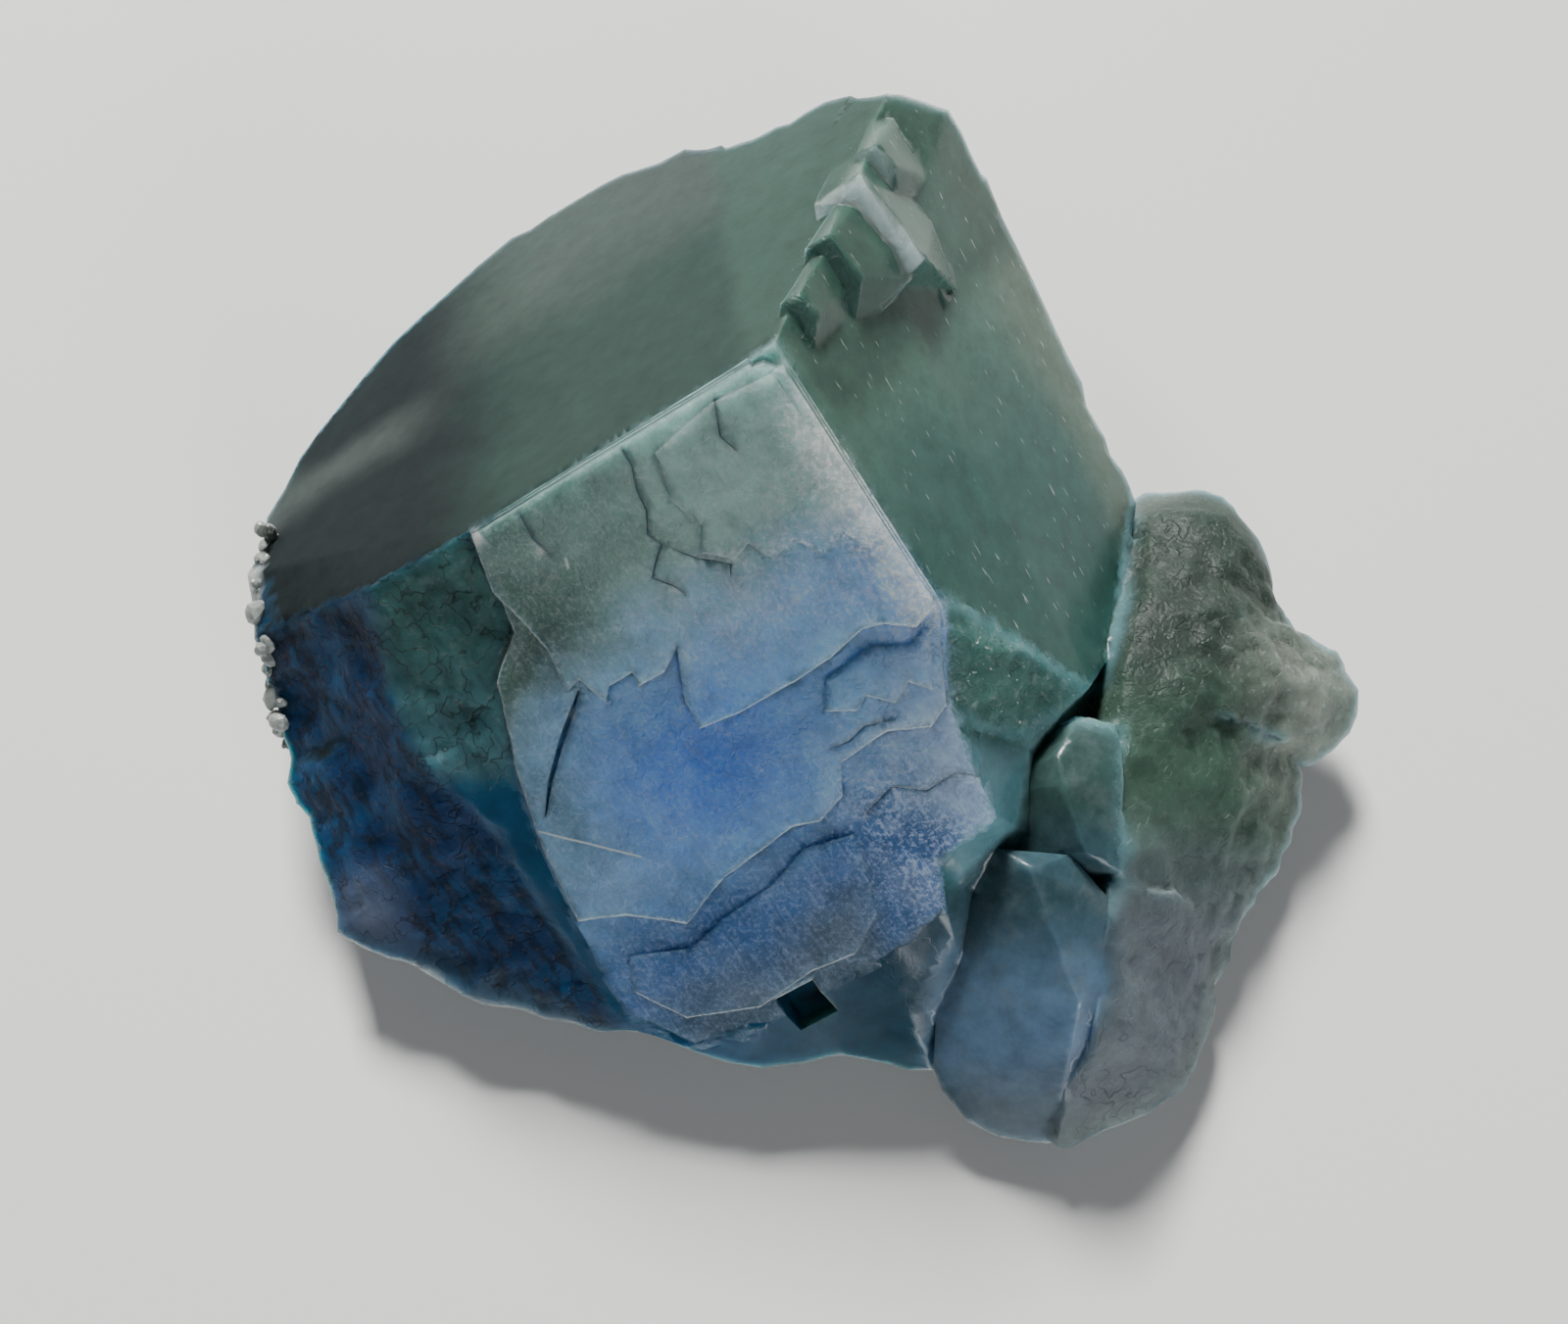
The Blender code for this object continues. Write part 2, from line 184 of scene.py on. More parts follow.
# %% [markdown]
# ## A copy of the solid
# The solid from the frame stays as it is. Its loose triangles are merged in a copy, so that cuts and
# relief keep it closed.

# %% Copy and merge
solid = frame["nodes"]["fluorite_crystal"]
crystal = solid.copy()
crystal.data = solid.data.copy()
crystal.parent = None
crystal.name = "fluorite_specimen"
crystal.data.name = "fluorite_specimen"
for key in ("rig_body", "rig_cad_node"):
    if key in crystal:
        del crystal[key]
bpy.context.scene.collection.objects.link(crystal)
SAME_POINT = 0.004 * MM
edit_all(crystal)
bpy.ops.mesh.remove_doubles(threshold=SAME_POINT)
bpy.ops.mesh.quads_convert_to_tris(quad_method="BEAUTY", ngon_method="BEAUTY")
leave_edit()
print("merged copy has", len(crystal.data.polygons), "faces")

# %% [markdown]
# ## Thin growth layers and cracks
# The face grew in thin sheets with ragged edges, finer than those in the solid, and it has cracked.
# A sheet is a flat outline pulled down into a slab. A crack is a long thin slab that is cut away.
# The outline starts as a circle with the right number of points, each then put in its place.

# %% Slabs on the face
def slab(name, outline, top_mm, thick_mm):
    """A flat-topped slab on the frosted face, from an outline along the cube's edges."""
    bpy.ops.object.select_all(action="DESELECT")
    bpy.ops.mesh.primitive_circle_add(vertices=len(outline), radius=MM, fill_type="NGON")
    piece = bpy.context.object
    piece.name = name
    for vert, (left_mm, right_mm) in zip(piece.data.vertices, outline):
        vert.co = on_face(left_mm, right_mm, top_mm)
    edit_all(piece)
    bpy.ops.mesh.extrude_region_move(TRANSFORM_OT_translate={"value": -FACE_UP * thick_mm * MM})
    bpy.ops.mesh.select_all(action="SELECT")
    bpy.ops.mesh.normals_make_consistent(inside=False)
    leave_edit()
    return piece


def groove(name, line, width_mm, top_mm, depth_mm):
    """A crack: a slab that follows a line and tapers at both ends."""
    points = [Vector(point) for point in line]
    one_side, other_side = [], []
    for place, point in enumerate(points):
        before, after = points[max(place - 1, 0)], points[min(place + 1, len(points) - 1)]
        along_line = (after - before).normalized()
        across = Vector((-along_line.y, along_line.x)) * width_mm / 2.0
        across *= 0.25 if place in (0, len(points) - 1) else 1.0
        one_side.append(point + across)
        other_side.append(point - across)
    outline = [tuple(point) for point in one_side + other_side[::-1]]
    return slab(name, outline, top_mm, depth_mm)


def combine(body, tools, operation):
    """Join helpers to the crystal, or cut them away, with an exact Boolean."""
    for tool in tools:
        change = body.modifiers.new(tool.name, "BOOLEAN")
        change.operation = operation
        change.solver = "EXACT"
        change.object = tool
        apply_modifier(body, change)
        bpy.data.objects.remove(tool, do_unlink=True)


# %% Thin sheets
PLATE_TOP, STEP_TOP, LOW_TOP = 0.0, -0.30, -0.48
SHEETS = (
    ("upper_sheet", PLATE_TOP + 0.07, (
        (0.5, 0.7), (2.6, 0.5), (4.9, 0.9), (5.3, 2.4), (4.9, 3.6), (5.4, 4.3), (4.6, 5.0), (4.0, 4.8), (3.6, 5.6),
        (2.7, 5.4), (2.2, 6.3), (1.3, 6.0), (0.9, 6.9), (0.35, 6.6))),
    ("middle_sheet", STEP_TOP + 0.09, (
        (0.5, 9.9), (1.5, 10.3), (2.6, 9.7), (4.4, 9.9), (5.0, 10.8), (4.1, 11.3), (3.6, 11.0), (2.9, 11.7),
        (2.2, 11.3), (1.7, 11.9), (1.3, 11.2))),
    ("low_sheet", LOW_TOP + 0.08, (
        (6.5, 15.0), (8.2, 14.6), (9.8, 15.2), (11.8, 15.4), (13.4, 15.8), (15.4, 15.0), (16.0, 16.2), (15.0, 17.9),
        (12.6, 18.8), (10.4, 18.5), (8.8, 18.7), (7.4, 17.8), (6.9, 16.4))),
)
SHEET_THICK = 0.3
combine(crystal, [slab(name, outline, top, SHEET_THICK) for name, top, outline in SHEETS], "UNION")
print("with sheets", len(crystal.data.polygons), "faces")

# %% [markdown]
# ## Cracks
# Hair cracks wander over the face, and one dark fissure crosses the blue. They could be painted, but a
# real groove stays dark inside and catches light on its rim. Only the fissure is cut wide and deep.

# %% Cracks
FINE, WIDE = (0.05, 0.21), (0.16, 0.30)
CRACKS = (
    ("long_crack", PLATE_TOP, FINE, (
        (5.7, 0.2), (5.75, 0.9), (6.05, 1.6), (6.15, 2.3), (6.55, 2.95), (6.35, 3.45), (6.9, 3.9), (7.2, 4.2),
        (6.75, 4.8), (6.6, 5.2))),
    ("side_crack", PLATE_TOP, FINE, ((6.2, 3.6), (5.95, 4.0), (5.65, 4.4), (5.2, 4.75), (4.85, 5.1), (5.1, 5.5))),
    ("short_crack", PLATE_TOP, FINE, ((9.6, 0.3), (9.7, 1.2), (9.5, 2.0))),
    ("fine_crack", PLATE_TOP, FINE, ((2.4, 0.4), (2.9, 1.5), (2.7, 2.2))),
    ("dark_fissure", STEP_TOP, WIDE, ((11.4, 6.2), (12.1, 6.75), (13.0, 7.45), (14.1, 8.4), (14.9, 9.3))),
    ("low_crack", STEP_TOP, FINE, ((3.2, 12.2), (4.2, 11.9), (4.9, 12.1), (5.6, 12.0))),
    ("rim_crack", LOW_TOP, FINE, ((5.9, 14.6), (4.6, 14.2), (3.7, 14.9), (2.6, 14.8), (1.95, 15.4))),
)
OVER_FACE = 0.12
cutters = [groove(name, line, width, top + OVER_FACE, deep) for name, top, (width, deep), line in CRACKS]
combine(crystal, cutters, "DIFFERENCE")
print("with cracks", len(crystal.data.polygons), "faces")

# %% [markdown]
# ## Cutting a grid into it
# Relief needs points to move. Cutting the piece with evenly spaced planes square to the cube gives
# square cells on its faces and keeps every sharp edge where it is.

# %% Slice with planes
GRID = 0.3


def slice_along(piece, direction, step_mm):
    """Cut a piece with planes square to a direction."""
    reach = [vert.co.dot(direction) for vert in piece.data.vertices]
    low, high = min(reach), max(reach)
    cuts = int((high - low) / (step_mm * MM))
    edit_all(piece)
    for cut in range(1, cuts + 1):
        place = direction * (low + cut * step_mm * MM)
        bpy.ops.mesh.select_all(action="SELECT")
        bpy.ops.mesh.bisect(plane_co=place, plane_no=direction)
    leave_edit()
    return cuts


for direction in (EDGE_LEFT, EDGE_RIGHT, FACE_UP):
    cuts = slice_along(crystal, direction, GRID)
    print(cuts, "cuts leave", len(crystal.data.polygons), "faces")
SLIVER = 0.015 * MM
edit_all(crystal)
bpy.ops.mesh.remove_doubles(threshold=SLIVER)
bpy.ops.mesh.quads_convert_to_tris(quad_method="BEAUTY", ngon_method="BEAUTY")
leave_edit()

# %% [markdown]
# ## Sorting the surface
# The stone shows many kinds of surface: the frosted face, the pale treads of the growth steps, smooth
# cube walls, a shattered patch, green terraces, clean facets, the dark broken flank, the cluster of
# small crystals and a crust of tiny grains. Each face is sorted by the way it looks and by its place.
# The shares are kept as vertex groups for the relief and as attributes for the stone's colours.

# %% Seams seen from above
CLUSTER_SEAM = (
    (-23.0, 4.1), (-15.7, 4.1), (-12.4, 4.25), (-10.8, 4.3), (-9.3, 5.2), (-8.0, 6.8), (-5.0, 7.3), (-4.1, 8.7),
    (-2.5, 10.2), (0.2, 10.9), (5.1, 11.9), (9.0, 13.0))
BROKEN_SEAM = (
    (-16.0, -3.7), (-14.7, -4.7), (-13.6, -6.9), (-12.4, -7.8), (-10.0, -9.4), (-7.8, -10.9), (-6.3, -12.6),
    (-4.7, -13.6), (-2.8, -14.0), (-1.0, -14.4), (1.0, -15.6))
CLEAN_SEAM = (
    (-18.0, 8.0), (-16.4, 8.6), (-14.3, 9.4), (-12.8, 9.9), (-10.3, 9.8), (-9.2, 10.2), (-4.6, 10.3), (-4.0, 7.0))
FACE_SIDE = (
    (-1.0, 11.3), (2.9, 11.9), (4.4, 13.4), (7.2, 14.8), (10.1, 15.7), (13.0, 16.2), (17.0, 16.7))


def on_seam(seam, value):
    """The other coordinate of a seam at a given one."""
    return float(np.interp(value, [first for first, second in seam], [second for first, second in seam]))


# %% Shares for each kind of surface
KINDS = ("frost", "tread", "wall", "shatter", "terrace", "facet", "broken", "cluster", "clean", "crust", "under")

SOFT_KINDS = ("cluster", "clean", "broken", "terrace", "shatter")
SOFT_ROUNDS = 4


def kind_of(face):
    """The kind of surface that a face belongs to, by where it lies and which way it looks."""
    spot = face.center / MM
    offset = spot - CORNER
    left, right, up = offset.dot(EDGE_LEFT), offset.dot(EDGE_RIGHT), offset.dot(FACE_UP)
    toward_up = face.normal.dot(FACE_UP)
    if spot.x < -19.15 and -3.6 < spot.y < 1.6:
        return "crust"
    if face.normal.z < -0.2 or spot.z < 0.05:
        return "under"
    if spot.x > on_seam(CLUSTER_SEAM, spot.y) - 0.25 and spot.z < 8.4:
        return "clean" if spot.x < on_seam(CLEAN_SEAM, spot.y) else "cluster"
    if toward_up > 0.985 and up > -0.9 and left < on_seam(FACE_SIDE, right):
        return "frost"
    if toward_up > 0.96 and left < 0.6 and right < 2.6 and up > -8.6:
        return "tread"
    if left < 3.0 and right < 5.0:
        return "wall"
    if spot.x > 2.0 and -5.3 < spot.y < -1.6 - 0.3 * (spot.x - 3.6):
        return "shatter"
    if left < 8.0 and face.normal.dot(EDGE_LEFT) < -0.5:
        return "wall"
    if face.normal.dot(EDGE_RIGHT) < -0.7 or spot.y > 0.8:
        return "wall"
    if spot.x < on_seam(BROKEN_SEAM, spot.y) and left > 12.0:
        return "broken"
    if left > 11.0 and spot.y > -6.6:
        return "terrace"
    return "facet"


def surface_shares(piece):
    """For each point, how much of the faces round it is of each kind."""
    mesh = piece.data
    shares = {kind: np.zeros(len(mesh.vertices)) for kind in KINDS}
    total = np.zeros(len(mesh.vertices))
    for face in mesh.polygons:
        share = shares[kind_of(face)]
        for corner in face.vertices:
            share[corner] += face.area
            total[corner] += face.area
    shares = {kind: share / np.maximum(total, 1e-12) for kind, share in shares.items()}
    ends = np.array([edge.vertices[:] for edge in mesh.edges])
    neighbours = np.maximum(np.bincount(ends.ravel(), minlength=len(total)), 1)
    for kind in SOFT_KINDS:
        for _ in range(SOFT_ROUNDS):
            spread = np.zeros(len(total))
            np.add.at(spread, ends[:, 0], shares[kind][ends[:, 1]])
            np.add.at(spread, ends[:, 1], shares[kind][ends[:, 0]])
            shares[kind] = 0.5 * (shares[kind] + spread / neighbours)
    return shares


shares = surface_shares(crystal)
for kind, share in shares.items():
    group = crystal.vertex_groups.new(name=kind)
    for index in np.nonzero(share > 0.001)[0]:
        group.add([int(index)], float(share[index]), "REPLACE")
    print(kind, "covers", int((share > 0.5).sum()), "points")

# %% [markdown]
# ## The craggy side
# The outer side of the cluster is knobbly, while the side next to the cube is calm. A group that fades
# in over three millimetres lets the coarse relief start without a border.

# %% The craggy outer side of the cluster
craggy = crystal.vertex_groups.new(name="craggy")
for vert in crystal.data.vertices:
    spot = vert.co / MM
    rim = min(max((spot.x - 12.0) / 3.0, 0.0), 1.0) * min(max((4.0 - spot.y) / 2.0, 0.0), 1.0)
    weight = rim * shares["cluster"][vert.index]
    if weight > 0.01:
        craggy.add([vert.index], float(weight), "REPLACE")

# %% [markdown]
# ## Relief
# Each kind of surface gets its own roughness with the Displace modifier and a noise texture: broad
# steps and fine ridges on the fracture, a soft unevenness on the frosted face, and ridged scales
# on the cluster. The vertex group keeps each one where it belongs.

# %% A leaning, stretched frame for ridges that run down to the left
bpy.ops.object.empty_add(type="PLAIN_AXES", rotation=(0.3, 0.0, math.radians(28.0)), scale=(0.7, 2.2, 0.9))
leaning = bpy.context.object
bpy.context.view_layer.update()

# %% Displace by kind
def relief(piece, kind, size_mm, height_mm, basis, depth, lean=None):
    """Push one kind of surface in and out by a noise pattern, in a leaning frame if one is given."""
    texture = bpy.data.textures.new(f"{kind}_clouds", "CLOUDS")
    texture.noise_scale = size_mm * MM
    texture.noise_basis = basis
    texture.noise_depth = depth
    push = piece.modifiers.new(texture.name, "DISPLACE")
    push.texture = texture
    push.texture_coords = "OBJECT" if lean else "LOCAL"
    push.texture_coords_object = lean
    push.strength = height_mm * MM
    push.mid_level = 0.5
    push.vertex_group = kind
    apply_modifier(piece, push)


relief(crystal, "broken", 2.6, 0.40, "VORONOI_F2_F1", 1)
relief(crystal, "broken", 0.6, 0.16, "VORONOI_F1", 2, leaning)
relief(crystal, "shatter", 0.9, 0.40, "VORONOI_F1", 2)
relief(crystal, "terrace", 1.3, 0.35, "VORONOI_F2_F1", 2)
relief(crystal, "cluster", 1.3, 0.36, "VORONOI_F2_F1", 1, leaning)
calm = crystal.modifiers.new("calm", "SMOOTH")
calm.factor = 0.5
calm.iterations = 8
calm.vertex_group = "cluster"
apply_modifier(crystal, calm)
relief(crystal, "cluster", 0.5, 0.16, "VORONOI_F1", 2, leaning)
relief(crystal, "craggy", 1.1, 0.55, "VORONOI_F1", 1)
relief(crystal, "clean", 1.8, 0.10, "BLENDER_ORIGINAL", 1, leaning)
relief(crystal, "facet", 1.5, 0.08, "BLENDER_ORIGINAL", 2)
relief(crystal, "frost", 0.9, 0.08, "VORONOI_F1", 2)
relief(crystal, "tread", 0.5, 0.10, "VORONOI_F1", 2)
relief(crystal, "wall", 5.0, 0.10, "BLENDER_ORIGINAL", 0)
bpy.data.objects.remove(leaning, do_unlink=True)
edit_all(crystal)
bpy.ops.mesh.normals_make_consistent(inside=False)
leave_edit()
pick(crystal)
SHARP_ANGLE = math.radians(28.0)
bpy.ops.object.shade_smooth_by_angle(angle=SHARP_ANGLE)
print("relief done on", len(crystal.data.polygons), "faces")

# %% [markdown]
# ## Shares for the shader
# The shader can't read vertex groups, so the same shares are stored once more as attributes.
# Their names end in share, because a group and an attribute can't have the same name.

# %% Attributes for the stone
for kind, share in shares.items():
    layer = crystal.data.attributes.new(f"{kind}_share", "FLOAT", "POINT")
    layer.data.foreach_set("value", share.astype(np.float32))

# %% [markdown]
# ## The stone
# Fluorite is glassy, but cracks and veils make this one cloudy. Light both passes through it and is
# scattered back, so the shader mixes plain transmission with a body colour. The body colour is
# zoned as the crystal grew: green under the cube walls, blue in the heart and towards the foot.
# The same fine grain runs through the stone and its crust, so it is made once, as a node group.

# %% A grain that both stones use
grain_group = bpy.data.node_groups.new("stone_grain", "ShaderNodeTree")
grain_group.interface.new_socket(name="Vector", in_out="INPUT", socket_type="NodeSocketVector")
for socket_name in ("Scale", "Detail", "Roughness"):
    grain_group.interface.new_socket(name=socket_name, in_out="INPUT", socket_type="NodeSocketFloat")
grain_group.interface.new_socket(name="Value", in_out="OUTPUT", socket_type="NodeSocketFloat")
group_start = grain_group.nodes.new("NodeGroupInput")
group_noise = grain_group.nodes.new("ShaderNodeTexNoise")
group_end = grain_group.nodes.new("NodeGroupOutput")
for socket_name in ("Vector", "Scale", "Detail", "Roughness"):
    grain_group.links.new(group_start.outputs[socket_name], group_noise.inputs[socket_name])
grain_group.links.new(group_noise.outputs["Fac"], group_end.inputs["Value"])


def place_grain(tree, vector, size_mm, detail, rough):
    """Put the shared grain into a material, with features of about one size."""
    made = tree.nodes.new("ShaderNodeGroup")
    made.node_tree = grain_group
    tree.links.new(vector, made.inputs["Vector"])
    made.inputs["Scale"].default_value = 1.0 / (size_mm * MM)
    made.inputs["Detail"].default_value = detail
    made.inputs["Roughness"].default_value = rough
    return made.outputs["Value"]


# %% Fluorite material and its helpers
stone = bpy.data.materials.new("fluorite_stone")
stone.use_nodes = True
tree = stone.node_tree
shader = tree.nodes["Principled BSDF"]
output = tree.nodes["Material Output"]


def node(kind, **values):
    """Add a shader node and set some of its settings."""
    made = tree.nodes.new(kind)
    for name, value in values.items():
        setattr(made, name, value)
    return made


def plug(source, target):
    """Link a socket, or set a plain value."""
    if isinstance(source, (int, float)):
        target.default_value = source
    elif isinstance(source, tuple):
        target.default_value = source + (1.0,)
    else:
        tree.links.new(source, target)


def math_of(operation, first, second=0.5, clamp=False):
    """One step of arithmetic on values or sockets."""
    made = node("ShaderNodeMath", operation=operation, use_clamp=clamp)
    plug(first, made.inputs[0])
    plug(second, made.inputs[1])
    return made.outputs[0]


def times(first, *others):
    for other in others:
        first = math_of("MULTIPLY", first, other)
    return first


def plus(first, *others):
    for other in others:
        first = math_of("ADD", first, other)
    return first


def without(value):
    """What is left of 1, for turning a mask round."""
    return math_of("SUBTRACT", 1.0, value, clamp=True)


def blend(share, low, high):
    """Mix two colours, given as plain values or sockets."""
    made = node("ShaderNodeMix", data_type="RGBA")
    plug(share, made.inputs["Factor"])
    plug(low, made.inputs[6])
    plug(high, made.inputs[7])
    return made.outputs[2]


def span(value, low, high):
    """Rise smoothly from 0 at low to 1 at high."""
    made = node("ShaderNodeMapRange", interpolation_type="SMOOTHSTEP")
    plug(value, made.inputs["Value"])
    made.inputs["From Min"].default_value = low
    made.inputs["From Max"].default_value = high
    return made.outputs["Result"]


def hump(value, middle, reach):
    """1 at the middle, falling smoothly to 0 at reach on both sides."""
    off = math_of("ABSOLUTE", math_of("SUBTRACT", value, middle))
    return without(span(off, 0.0, reach))


def along(direction):
    """Distance in millimetres from the cube's corner along one direction."""
    spot = node("ShaderNodeVectorMath", operation="SUBTRACT")
    plug(place, spot.inputs[0])
    spot.inputs[1].default_value = CORNER * MM
    reach = node("ShaderNodeVectorMath", operation="DOT_PRODUCT")
    plug(spot.outputs[0], reach.inputs[0])
    reach.inputs[1].default_value = direction / MM
    return reach.outputs["Value"]


def speckle(size_mm, detail=3.0, rough=0.55):
    """The shared grain at a point's own place."""
    return place_grain(tree, place, size_mm, detail, rough)


def streaks(long_mm, thin_mm):
    """Noise drawn out along the right edge, for streaks and dashes."""
    joined = node("ShaderNodeCombineXYZ")
    plug(times(left, 1.0 / thin_mm), joined.inputs[0])
    plug(times(right, 1.0 / long_mm), joined.inputs[1])
    plug(times(up, 1.0 / thin_mm), joined.inputs[2])
    made = node("ShaderNodeTexNoise")
    plug(joined.outputs[0], made.inputs["Vector"])
    made.inputs["Scale"].default_value = 1.0
    made.inputs["Detail"].default_value = 2.0
    return made.outputs["Fac"]


def veins(size_mm, width):
    """Thin winding lines, where even noise passes through its middle value."""
    off = math_of("ABSOLUTE", math_of("SUBTRACT", speckle(size_mm, 2.0, 0.6), 0.5))
    return without(span(off, 0.0, width))


# %% [markdown]
# ## Where a point lies in the crystal
# Object coordinates give each point's place. Measured along the cube's own edges, it becomes left, right
# and up in millimetres, and every zone and mark below is given in these. Growth follows the cube,
# so this keeps the colours in step with the faces from any side.

# %% Places and surface kinds
place = node("ShaderNodeTexCoord").outputs["Object"]
left, right, up = along(EDGE_LEFT), along(EDGE_RIGHT), along(FACE_UP)
parts = node("ShaderNodeSeparateXYZ")
plug(place, parts.inputs[0])
height = times(parts.outputs[2], 1.0 / MM)
share_of = {kind: node("ShaderNodeAttribute", attribute_name=f"{kind}_share").outputs["Fac"] for kind in KINDS}
frost, tread, wall, shatter, terrace, facet, broken, cluster, clean, crust, under = share_of.values()
across = times(parts.outputs[0], 1.0 / MM)
depth = times(parts.outputs[1], 1.0 / MM)

# %% [markdown]
# ## Colour zones
# Each zone is a soft ramp over the place in the crystal, bent a little by broad noise, because growth
# zones are never ruled with a line. One brighter patch on the face is painted glow, not a growth zone.

# %% Colours of the frosted face
wander = times(math_of("SUBTRACT", speckle(4.0, 3.0), 0.5), 5.0)
FACE_GREEN, FACE_DIM, FACE_BLUE = (0.38, 0.60, 0.54), (0.07, 0.14, 0.12), (0.28, 0.54, 0.86)
PAINTED_GLOW, DUSK, LOW_GREY = (0.09, 0.30, 0.95), (0.06, 0.18, 0.44), (0.11, 0.18, 0.25)
on_right, on_left = plus(right, wander), plus(left, wander)
face_colour = blend(span(on_right, 3.5, 8.5), FACE_GREEN, FACE_BLUE)
face_colour = blend(times(span(on_left, 8.0, 12.0), without(span(on_right, 4.5, 7.5))), face_colour, FACE_DIM)
upper_left = times(span(on_left, 4.0, 8.0), without(span(on_right, 3.5, 6.0)))
face_colour = blend(times(upper_left, 0.6), face_colour, (0.14, 0.26, 0.22))
# A brighter periwinkle patch in the blue is painted glow: light shining through the stone, put into the face's
# colour.
face_colour = blend(times(hump(left, 9.5, 6.0), hump(right, 10.5, 4.5), 0.9), face_colour, PAINTED_GLOW)
face_colour = blend(span(on_right, 12.0, 16.0), face_colour, DUSK)
face_colour = blend(times(span(on_right, 15.5, 18.5), span(on_left, 6.0, 9.0)), face_colour, LOW_GREY)
lower_right = times(without(span(on_left, 2.0, 5.0)), span(on_right, 10.0, 13.0))
face_colour = blend(lower_right, face_colour, (0.44, 0.62, 0.82))
face_colour = blend(times(hump(on_left, 14.5, 2.4), hump(right, 9.5, 5.0), 0.6), face_colour, (0.10, 0.21, 0.20))

# %% [markdown]
# ## Walls and broken flank
# The cube walls are green. The left wall carries a painted reflection, a paler sheen low down with a lighter
# painted band, and it is painted darker towards its left end as shade; the right wall is paler towards its foot.
# The broken flank is the deepest blue, with darker streaks painted along its ridges as shade in the crevices,
# running down along the cube's edge. Which wall a point is on is told by its distance from the two wall planes.

# %% Colours of the walls and the broken flank
drop = times(up, -1.0)
# Darker towards the left end of the left wall: painted shade.
left_wall = blend(span(on_left, 8.0, 14.0), (0.018, 0.048, 0.038), (0.005, 0.011, 0.012))
# A paler sheen low on the left wall is a painted reflection, and the lighter band is painted sheen too.
wall_reflection_sheen = times(span(plus(drop, wander), 9.0, 15.0), without(span(left, 9.0, 15.0)))
left_wall = blend(wall_reflection_sheen, left_wall, (0.05, 0.075, 0.066))
painted_sheen_band = times(hump(plus(drop, times(wander, 0.4)), 10.0, 2.5), span(left, 12.0, 16.0), 0.5)
left_wall = blend(painted_sheen_band, left_wall, (0.09, 0.115, 0.105))
right_wall = blend(span(on_right, 1.0, 9.0), (0.105, 0.205, 0.160), (0.034, 0.118, 0.100))
right_wall = blend(span(plus(drop, wander), 9.0, 14.0), right_wall, (0.150, 0.215, 0.165))
from_left_wall, from_right_wall = plus(right, times(drop, 0.3)), plus(left, times(drop, 0.49))
which_wall = span(plus(from_right_wall, times(from_left_wall, -1.0)), -0.4, 0.6)
walls = blend(which_wall, right_wall, left_wall)

broken_colour = blend(span(depth, -4.0, 0.5), (0.001, 0.040, 0.14), (0.0, 0.003, 0.012))
broken_colour = blend(times(span(speckle(2.2, 3.0), 0.4, 0.7), 0.6), broken_colour, (0.004, 0.105, 0.26))
# Darker streaks along the ridges are painted shade, standing for the crevices between them.
ridges = span(plus(times(streaks(1.8, 0.42), 0.7), times(speckle(0.7, 3.0, 0.65), 0.3)), 0.46, 0.60)
broken_colour = blend(times(ridges, 0.75), broken_colour, (0.0, 0.008, 0.030))
lilac = times(hump(across, -15.2, 2.2), hump(depth, -10.3, 2.4))
broken_colour = blend(times(lilac, 0.9), broken_colour, (0.15, 0.19, 0.29))
broken_colour = blend(times(without(span(height, 2.4, 3.6)), 0.6), broken_colour, (0.09, 0.14, 0.17))
terrace_colour = blend(span(depth, -6.5, -2.0), (0.08, 0.23, 0.27), (0.055, 0.16, 0.15))
terrace_colour = blend(times(span(streaks(3.0, 0.40), 0.45, 0.65), 0.5), terrace_colour, (0.03, 0.09, 0.10))

# %% [markdown]
# ## Facets and side crystals
# The small facets under the face are blue to teal, and one of them is painted brighter as painted light. The side
# crystals fade from grey at the foot over blue to green at the head, as thinner stone does, and near the floor
# they are painted paler, as painted light showing through thin stone.

# %% Colours of the facets and the side crystals
facet_colour = blend(span(across, -4.0, 3.0), (0.018, 0.10, 0.20), (0.012, 0.075, 0.12))
# This teal facet is painted much brighter than its own tone, as painted light where the lamp leaves it in shade.
facet_colour = blend(times(span(across, 3.5, 5.5), span(depth, -11.5, -10.0)), facet_colour, (0.32, 0.72, 0.82))
facet_colour = blend(shatter, facet_colour, (0.08, 0.22, 0.19))
clean_colour = blend(span(depth, -14.0, -10.0), (0.19, 0.32, 0.48), (0.055, 0.115, 0.140))
clean_colour = blend(span(depth, -9.0, -7.0), clean_colour, (0.055, 0.115, 0.105))
clean_colour = blend(without(span(depth, -17.0, -14.5)), clean_colour, (0.20, 0.26, 0.31))
clean_colour = blend(times(span(speckle(1.4, 5.0, 0.7), 0.45, 0.75), 0.5), clean_colour, (0.20, 0.25, 0.26))
cluster_colour = blend(span(depth, -11.5, -6.0), (0.17, 0.21, 0.235), (0.070, 0.140, 0.100))
cluster_colour = blend(span(depth, -5.5, -1.0), cluster_colour, (0.035, 0.060, 0.046))
knob = times(hump(across, 17.5, 4.0), hump(depth, -3.5, 5.5))
cluster_colour = blend(knob, cluster_colour, (0.28, 0.32, 0.27))
# Near the floor the side crystals are painted paler: painted light showing through their thin rims.
painted_rim_light = without(span(height, 1.2, 3.0))
cluster_colour = blend(times(painted_rim_light, 0.75), cluster_colour, (0.26, 0.30, 0.27))

# %% All zones together
# The teal patch on walls and facets is partly their own teal and partly painted light, brighter where they lie in
# shade.
teal = times(span(right, 11.8, 12.8), without(span(drop, 3.0, 4.6)), 0.85)
teal = times(teal, span(across, 3.0, 4.2), span(depth, -10.5, -9.3), without(span(depth, -6.2, -5.2)))
colour = facet_colour
for share, tint in (
    (broken, broken_colour), (terrace, terrace_colour), (plus(wall, tread), walls), (clean, clean_colour),
    (cluster, cluster_colour), (frost, face_colour), (under, (0.05, 0.09, 0.10)),
):
    colour = blend(share, colour, tint)
colour = blend(times(plus(wall, facet, shatter), teal), colour, (0.125, 0.30, 0.35))
print("zones mixed with", len(tree.nodes), "nodes")
